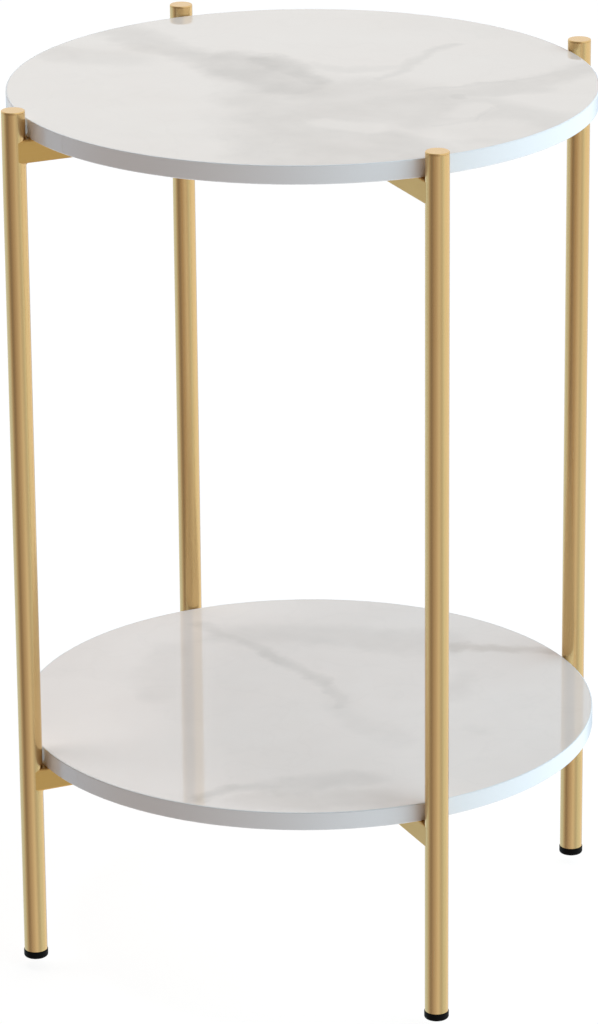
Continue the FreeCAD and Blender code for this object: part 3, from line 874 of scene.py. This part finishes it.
class SIDETABLE_OT_welds(bpy.types.Operator):
    """Lay the hollow weld fillet under each rail's end, round the inner side of its leg"""

    bl_idname = "side_table.welds"
    bl_label = "Welds"

    def execute(self, context):
        first = self.one_weld()
        for turn, side in enumerate(SIDES):
            for name, weld in at_both_levels(first, turn * QUARTER_TURN):
                dress(weld, f"{name}_{side}_weld", satin_gold_steel("round", "z"))
        bpy.data.objects.remove(first)
        return {"FINISHED"}

    def one_weld(self):
        """The weld under the upper rail at the front leg, as wide as the flat of the rail."""
        leg = middle("leg_front")
        under, over = level("upper_rail_y")
        bore = radius("leg_front")
        reach, bury = shape().weld_leg, shape().weld_bury
        hollow = reach * shape().weld_hollow
        section = (
            (bore - bury, under + bury),
            (bore - bury, under - reach),
            (bore, under - reach),
            (bore + hollow, under - hollow),
            (bore + reach, under),
            (bore + reach, under + bury),
        )
        flat = (over - under) / 2 - shape().rail_corner
        taper = reach / 2
        sweep = math.asin((flat - taper) / (bore + reach))
        start = Vector((-math.sin(sweep), math.cos(sweep)))
        weld = add_outline([
            (leg.x + start.x * out, leg.y + start.y * out, height) for out, height in section])
        with shaping(weld):
            bpy.ops.mesh.select_all(action="SELECT")
            bpy.ops.mesh.edge_face_add()
            bpy.ops.mesh.spin(
                steps=shape().weld_steps, angle=2 * sweep, center=(leg.x, leg.y, 0), axis=(0, 0, 1))
            for side in (-1, 1):
                outward = Vector((side * math.sin(sweep), math.cos(sweep), 0))
                onward = Vector((side * math.cos(sweep), -math.sin(sweep), 0)) * taper
                select(weld, "FACE", lambda place: abs((place - leg).dot(onward)) < TINY * taper)
                bpy.ops.mesh.extrude_region_move(TRANSFORM_OT_translate={"value": onward})
                corner = leg + outward * bore + onward
                bpy.ops.transform.resize(
                    value=[shape().weld_tip] * 3, center_override=(corner.x, corner.y, under))
        heal(weld)
        return weld


class SIDETABLE_OT_feet(bpy.types.Operator):
    """Make the four black feet: a rounded pad with a seat for its stud"""

    bl_idname = "side_table.feet"
    bl_label = "Feet"

    def execute(self, context):
        low, high = level("foot_front")
        seat = level("leveller_stud_front")[0]
        bore = radius("leveller_stud_front")
        first = add_round(shape().tube_steps, radius("foot_front"), low, high)
        round_edges(first, at_height(low), shape().foot_round, shape().edge_steps)
        round_edges(first, at_height(high), shape().foot_arris, shape().lip_steps)
        step_out(first, high, radius("foot_front") - shape().foot_arris - bore, seat - high)
        finish = moulded_nylon()
        for side, foot in at_each_leg(first, "foot"):
            dress(foot, f"{side}_foot_pad", finish, f"{side}_leveller", (f"foot_{side}",))
            frame["nodes"][f"foot_insert_{side}"].data.materials[0] = finish
        return {"FINISHED"}


class SIDETABLE_OT_studs(bpy.types.Operator):
    """Cut the four threaded studs of the feet"""

    bl_idname = "side_table.studs"
    bl_label = "Studs"

    def execute(self, context):
        for side, stud in at_each_leg(self.one_stud(), "leveller_stud"):
            dress(stud, f"{side}_thread", zinc_plated_steel(), f"{side}_leveller",
                  (f"leveller_stud_{side}",))
        return {"FINISHED"}

    def one_stud(self):
        """A stud on the table's axis: a thread's profile turned along a helix and trimmed at both ends."""
        low, high = level("leveller_stud_front")
        pitch = shape().thread_pitch
        crest = radius("leveller_stud_front")
        root = crest - shape().thread_depth
        # Shares of the pitch in a metric thread
        root_flat, crest_flat = 1 / 4, 1 / 8
        flank = (1 - root_flat - crest_flat) / 2
        profile = ((root, 0), (root, root_flat), (crest, root_flat + flank), (crest, 1 - flank), (root, 1))
        # Not whole turns, so that the cuts at both ends fall between the profile's points
        run_in = 1.6
        spare_turns = 3
        below = low - run_in * pitch
        stud = add_outline([(out, 0, below + share * pitch) for out, share in profile])
        turns = math.ceil((high - low) / pitch) + spare_turns
        apply_modifier(stud, "SCREW", axis="Z", angle=math.tau, screw_offset=pitch, iterations=turns,
                       steps=shape().thread_steps, render_steps=shape().thread_steps,
                       use_merge_vertices=True, merge_threshold=MERGE)
        heal(stud)
        with shaping(stud):
            for height, outward in ((low, -1), (high, 1)):
                bpy.ops.mesh.select_all(action="SELECT")
                bpy.ops.mesh.bisect(plane_co=(0, 0, height), plane_no=(0, 0, outward), use_fill=True,
                                    clear_outer=True, threshold=MERGE)
        heal(stud)
        return stud


class SIDETABLE_OT_cross_bolts(bpy.types.Operator):
    """Make the two button-head bolts that clamp the crossings, with their hexagon sockets"""

    bl_idname = "side_table.cross_bolts"
    bl_label = "Cross Bolts"

    def execute(self, context):
        for name in LEVELS:
            node = f"{name}_cross_bolt"
            low, high = level(node)
            seat = level(f"{name}_rail_x")[0]
            head = radius(node)
            bolt = add_round(shape().tube_steps, head, low, seat)
            round_edges(bolt, at_height(low), shape().bolt_dome, shape().dome_steps)
            step_out(bolt, seat, head - shape().bolt_shank / 2, high - seat)
            corner = shape().key_width / 2 / math.cos(math.pi / HEXAGON)
            cut(bolt, add_round(HEXAGON, corner, low - shape().key_depth, low + shape().key_depth))
            dress(bolt, f"{name}_button_bolt", zinc_plated_steel(), stands_for=(node,))
        return {"FINISHED"}


class SIDETABLE_OT_inner_finishes(bpy.types.Operator):
    """Finish the frame's own pieces that stay: cores, backing sheets, screws and insert nuts"""

    bl_idname = "side_table.inner_finishes"
    bl_label = "Inner Finishes"

    def execute(self, context):
        backing, core = melamine_backing(), pressed_fibreboard()
        for board, name in zip(BOARDS, LEVELS):
            finishes = {
                f"{board}_backing": backing,
                f"{board}_core": core,
                f"{board}_board_screws": zinc_plated_steel(),
                f"{name}_insert_nut": zinc_plated_steel(),
            }
            for node, finish in finishes.items():
                frame["nodes"][node].data.materials[0] = finish
        return {"FINISHED"}


# Lobes of the light dome: heading from the camera towards its right and height above the horizon,
# reach from a lobe's middle to its edge, all in degrees, and how much red, green and blue it adds
Lobe = namedtuple("Lobe", "heading height reach gain")
LOBES = (
    Lobe(105, -10, 75, (0.05, 0.16, 0.22)),
    Lobe(80, 30, 62, (1.14, 1.52, 1.74)),
    Lobe(180, 20, 62, (0.50, 0.49, 0.50)),
    Lobe(-10, -27, 50, (0.36, 0.38, 0.41)),
    Lobe(-52, -44, 30, (-0.15, -0.15, -0.13)),
    Lobe(48, -20, 32, (-0.12, -0.10, -0.10)),
    Lobe(-132, -20, 50, (0.05, 0.25, 0.42)),
    Lobe(128, -20, 32, (0.34, 0.32, 0.32)),
    Lobe(174, -18, 30, (-0.85, -0.85, -0.82)),
    Lobe(180, -35, 45, (0.30, 0.33, 0.38)),
    Lobe(-32, 15, 72, (-0.62, -0.71, -0.78)),
    Lobe(0, -90, 62, (1.05, 1.05, 1.05)),
)
WHITE = (1, 1, 1, 1)


class SIDETABLE_OT_studio(bpy.types.Operator):
    """Set up the pale floor, the soft light dome, the overhead key light and the camera"""

    bl_idname = "side_table.studio"
    bl_label = "Studio"

    def execute(self, context):
        self.lay_floor()
        self.light_dome(context.scene)
        self.hang_key()
        self.place_camera(context.scene)
        context.scene.view_settings.view_transform = "Standard"
        return {"FINISHED"}

    def towards(self, heading, height=0.0):
        """Unit vector at a heading right of the camera and a height above the horizon, in degrees."""
        bearing = math.radians(heading) - studio().camera_heading
        lift = math.radians(height)
        level_part = Vector((math.sin(bearing), -math.cos(bearing), 0)) * math.cos(lift)
        return level_part + Vector((0, 0, math.sin(lift)))

    def lay_floor(self):
        start_clean()
        bpy.ops.mesh.primitive_plane_add(size=studio().floor_size, location=(0, 0, -studio().floor_drop))
        floor = settle()
        floor.name = "studio_floor"
        # Light from below comes from the dome's lower half, so rays off the table pass through the floor
        floor.visible_glossy = False
        floor.visible_diffuse = False
        material, tree, place = new_material("matt_studio_floor")
        # Roller marks of floor paint, about 8 mm
        roller = add_node(tree, "TexNoise", {"Vector": place, "Scale": per_metre(8), "Detail": 1.0})["Fac"]
        rough = add_node(tree, "MapRange", {"Value": roller, "To Min": 0.8, "To Max": 0.9})["Result"]
        surface(tree, {"Base Color": (*studio().floor_white, 1.0), "Roughness": rough,
                       "Emission Color": WHITE, "Emission Strength": studio().floor_glow,
                       "Specular IOR Level": 0.0})
        floor.data.materials.append(material)

    def light_dome(self, scene):
        world = bpy.data.worlds.new("light_dome")
        world.use_nodes = True
        tree = world.node_tree
        tree.nodes.clear()
        ray = add_node(tree, "TexCoord")["Generated"]
        height = add_node(tree, "SeparateXYZ", {"Vector": ray})["Z"]
        light = add_node(tree, "MapRange", {
            "Value": height, "From Min": -1.0, "From Max": 0.0,
            "To Min": studio().dome_low, "To Max": studio().dome_side})["Result"]
        for lobe in LOBES:
            facing = add_node(tree, "VectorMath", {
                0: ray, 1: self.towards(lobe.heading, lobe.height)}, operation="DOT_PRODUCT")["Value"]
            share = add_node(tree, "MapRange", {
                "Value": facing, "From Min": math.cos(math.radians(lobe.reach)), "From Max": 1.0},
                interpolation_type="SMOOTHSTEP")["Result"]
            light = add_node(tree, "VectorMath", {
                0: share, 1: lobe.gain, 2: light}, operation="MULTIPLY_ADD")[0]
        # The dome dims towards its top, but mirror reflections meet it undimmed and within two limits
        dimming = add_node(tree, "MapRange", {
            "Value": height, "From Min": 0.0, "From Max": 1.0,
            "To Min": 0.0, "To Max": studio().dome_top - studio().dome_side})["Result"]
        dimmed = add_node(tree, "VectorMath", {0: light, 1: dimming}, operation="ADD")[0]
        for limit, choice in ((studio().mirror_least, "MAXIMUM"), (studio().mirror_most, "MINIMUM")):
            light = add_node(tree, "VectorMath", {0: light, 1: [limit] * 3}, operation=choice)[0]
        path = add_node(tree, "LightPath")
        light = add_node(tree, "Mix", {
            SHARE: path["Is Glossy Ray"], VECTOR_A: dimmed, VECTOR_B: light},
            data_type="VECTOR")[VECTOR_MIX]
        dome = add_node(tree, "Background", {"Color": light})["Background"]
        backdrop = add_node(tree, "Background", {"Color": WHITE})["Background"]
        mixed = add_node(tree, "MixShader", {0: path["Is Camera Ray"], 1: dome, 2: backdrop})["Shader"]
        add_node(tree, "OutputWorld", {"Surface": mixed})
        scene.world = world

    def hang_key(self):
        place = self.towards(-90) * studio().key_shift + Vector((0, 0, studio().key_height))
        aim = (Vector((0, 0, middle("top_core").z)) - place).to_track_quat("-Z", "Y")
        start_clean()
        bpy.ops.object.light_add(type="AREA", location=place, rotation=aim.to_euler())
        key = bpy.context.object
        key.name = "overhead_key"
        key.data.size = studio().key_size
        key.data.energy = studio().key_power
        key.visible_glossy = False

    def place_camera(self, scene):
        set_up = studio()
        start_clean()
        bpy.ops.object.camera_add()
        camera = bpy.context.object
        camera.name = "photo_camera"
        turn = Matrix.Rotation(set_up.camera_yaw - set_up.camera_heading, 4, "Z")
        tilt = Matrix.Rotation(QUARTER_TURN - set_up.camera_pitch, 4, "X")
        lean = Matrix.Rotation(set_up.camera_roll, 4, "Z")
        place = self.towards(0) * set_up.camera_distance + Vector((0, 0, set_up.camera_height))
        camera.matrix_world = Matrix.Translation(place) @ turn @ tilt @ lean
        camera.data.lens = set_up.lens
        camera.data.clip_end = set_up.camera_reach
        scene.camera = camera


OPERATORS = (
    SIDETABLE_OT_marble_sheets,
    SIDETABLE_OT_edge_strips,
    SIDETABLE_OT_legs,
    SIDETABLE_OT_leg_caps,
    SIDETABLE_OT_rails,
    SIDETABLE_OT_welds,
    SIDETABLE_OT_feet,
    SIDETABLE_OT_studs,
    SIDETABLE_OT_cross_bolts,
    SIDETABLE_OT_inner_finishes,
    SIDETABLE_OT_studio,
)
SETTINGS = {
    "side_table_shape": SideTableShape,
    "side_table_colours": SideTableColours,
    "side_table_studio": SideTableStudio,
}


class SIDETABLE_PT_build(bpy.types.Panel):
    """Lists the settings and the steps of the table"""

    bl_idname = "SIDETABLE_PT_build"
    bl_label = "Side Table"
    bl_space_type = "VIEW_3D"
    bl_region_type = "UI"
    bl_category = "Side Table"

    def draw(self, context):
        for setting, group in SETTINGS.items():
            column = self.layout.column(heading=group.__doc__)
            for name in group.__annotations__:
                column.prop(getattr(context.scene, setting), name)
        for operator in OPERATORS:
            self.layout.operator(operator.bl_idname)


CLASSES = (*SETTINGS.values(), *OPERATORS, SIDETABLE_PT_build)


def register():
    for entry in CLASSES:
        bpy.utils.register_class(entry)
    for setting, group in SETTINGS.items():
        setattr(bpy.types.Scene, setting, PointerProperty(type=group))


def unregister():
    for setting in SETTINGS:
        delattr(bpy.types.Scene, setting)
    for entry in reversed(CLASSES):
        bpy.utils.unregister_class(entry)


def main():
    """Builds the table in order, and writes the frame's box and the finished box."""
    register()
    for operator in OPERATORS:
        group, step = operator.bl_idname.split(".")
        getattr(getattr(bpy.ops, group), step)()
    start_clean()


if __name__ == "__main__":
    main()
